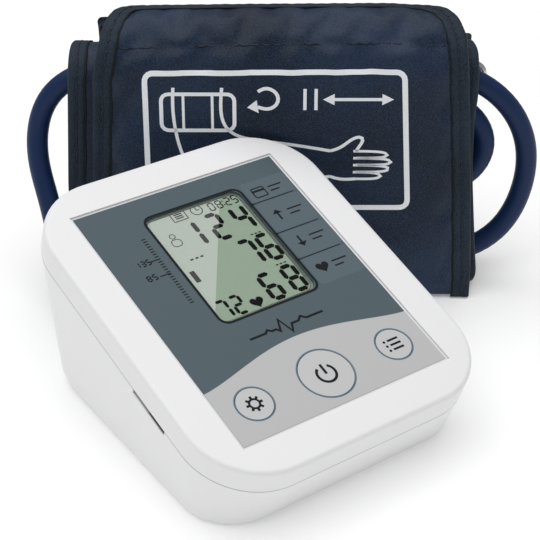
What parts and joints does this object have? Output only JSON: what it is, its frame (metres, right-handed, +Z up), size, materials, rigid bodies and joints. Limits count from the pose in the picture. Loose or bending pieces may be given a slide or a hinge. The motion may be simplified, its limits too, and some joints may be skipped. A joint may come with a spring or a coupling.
{
  "type": "upper arm blood pressure monitor",
  "caption": "Wedge-shaped table unit with a display and press buttons, its coiled air hose and its arm cuff rolled up behind it.",
  "frame": {"origin": "on the table, below the middle of the monitor and its rolled cuff seen from above", "axes": "+X to the user's right along the monitor's buttons, +Y away from the user, +Z up"},
  "size_m": [0.1954, 0.1894, 0.1081],
  "materials": {
    "white_plastic": "satin white moulded plastic",
    "slate_film": "printed film in slate and light grey",
    "clear_window": "clear moulded window",
    "grey_key": "slate grey plastic key",
    "slate_key": "slate grey plastic key",
    "lcd": "green-grey liquid crystal display",
    "ivory_plastic": "natural moulded plastic",
    "zebra_rubber": "layered connector rubber",
    "board": "green circuit board",
    "steel": "plain steel",
    "black_plastic": "black moulded plastic",
    "grey_plastic": "grey moulded plastic",
    "black_rubber": "black rubber",
    "silicone": "soft silicone tube",
    "battery_wrap": "plain printed sleeve",
    "navy_plastic": "navy moulded plastic",
    "navy_hose": "navy air hose, satin",
    "navy_cloth": "navy woven nylon with a sheen",
    "navy_tape": "navy folded binding tape",
    "bladder_rubber": "grey inflatable bladder",
    "hook_tape": "hook tape",
    "loop_tape": "loop tape",
    "ring_steel": "bright plated wire"
  },
  "bodies": {
    "monitor": {"top_cover": "white_plastic", "bottom_case": "white_plastic", "display_panel": "slate_film", "display_window": "clear_window", "lcd_glass": "lcd", "lcd_holder": "ivory_plastic", "lcd_connector": "zebra_rubber", "main_board": "board", "board_screws": "steel", "button_switches": "black_plastic", "controller_chips": "black_plastic", "buzzer": "black_plastic", "pressure_sensor": "grey_plastic", "pump_motor": "steel", "pump_housing": "ivory_plastic", "pump_diaphragm": "black_rubber", "pump_valve_cover": "ivory_plastic", "valve_body": "steel", "valve_spring": "steel", "valve_cap": "ivory_plastic", "air_tee": "ivory_plastic", "air_tubes": "silicone", "air_socket": "grey_plastic", "usb_port": "steel", "power_board": "board", "batteries": "battery_wrap", "battery_springs": "steel", "battery_contacts": "steel", "case_screws": "steel", "rubber_feet": "black_rubber"},
    "set_key": {"set_button": "grey_key"},
    "power_key": {"power_button": "grey_key"},
    "memory_key": {"memory_button": "slate_key"},
    "battery_lid": {"battery_door": "white_plastic"},
    "pump_rotor": {"pump_shaft": "steel"},
    "valve_pin": {"valve_plunger": "steel"},
    "cuff_set": {"hose_plug": "navy_plastic", "hose": "navy_hose", "cuff_band": "navy_cloth", "cuff_lining": "navy_cloth", "cuff_binding": "navy_tape", "cuff_bladder": "bladder_rubber", "hook_patch": "hook_tape", "loop_patch": "loop_tape", "hose_port": "navy_plastic", "ring_strap": "navy_tape"},
    "ring": {"cuff_ring": "ring_steel"}
  },
  "joints": [
    {"name": "set_button_press", "type": "slide", "parent": "monitor", "child": "set_key", "axis": [0, 0.3371, -0.9415], "range_m": [0, 0.0006], "stiffness_N_per_m": 500},
    {"name": "power_button_press", "type": "slide", "parent": "monitor", "child": "power_key", "axis": [0, 0.3371, -0.9415], "range_m": [0, 0.0006], "stiffness_N_per_m": 500},
    {"name": "memory_button_press", "type": "slide", "parent": "monitor", "child": "memory_key", "axis": [0, 0.3371, -0.9415], "range_m": [0, 0.0006], "stiffness_N_per_m": 500},
    {"name": "battery_door_swing", "type": "hinge", "parent": "monitor", "child": "battery_lid", "pos_m": [-0.0393, -0.0573, 0.0008], "axis": [-1, 0, 0], "range_deg": [0, 50]},
    {"name": "pump_shaft_turn", "type": "hinge", "parent": "monitor", "child": "pump_rotor", "pos_m": [-0.0343, 0.0097, 0.0324], "axis": [1, 0, 0], "continuous": true},
    {"name": "valve_plunger_lift", "type": "slide", "parent": "monitor", "child": "valve_pin", "axis": [0, 0, 1], "range_m": [0, 0.0008], "stiffness_N_per_m": 200, "springref_m": -0.001, "deforming": ["valve_spring"]},
    {"name": "air_plug_pull", "type": "slide", "parent": "monitor", "child": "cuff_set", "axis": [0, 1, 0], "range_m": [0, 0.014]},
    {"name": "ring_swing", "type": "hinge", "parent": "cuff_set", "child": "ring", "pos_m": [0.02933, 0.04669, 0.0825], "axis": [-0.8039, 0.5948, 0], "range_deg": [0, 15]}
  ]
}
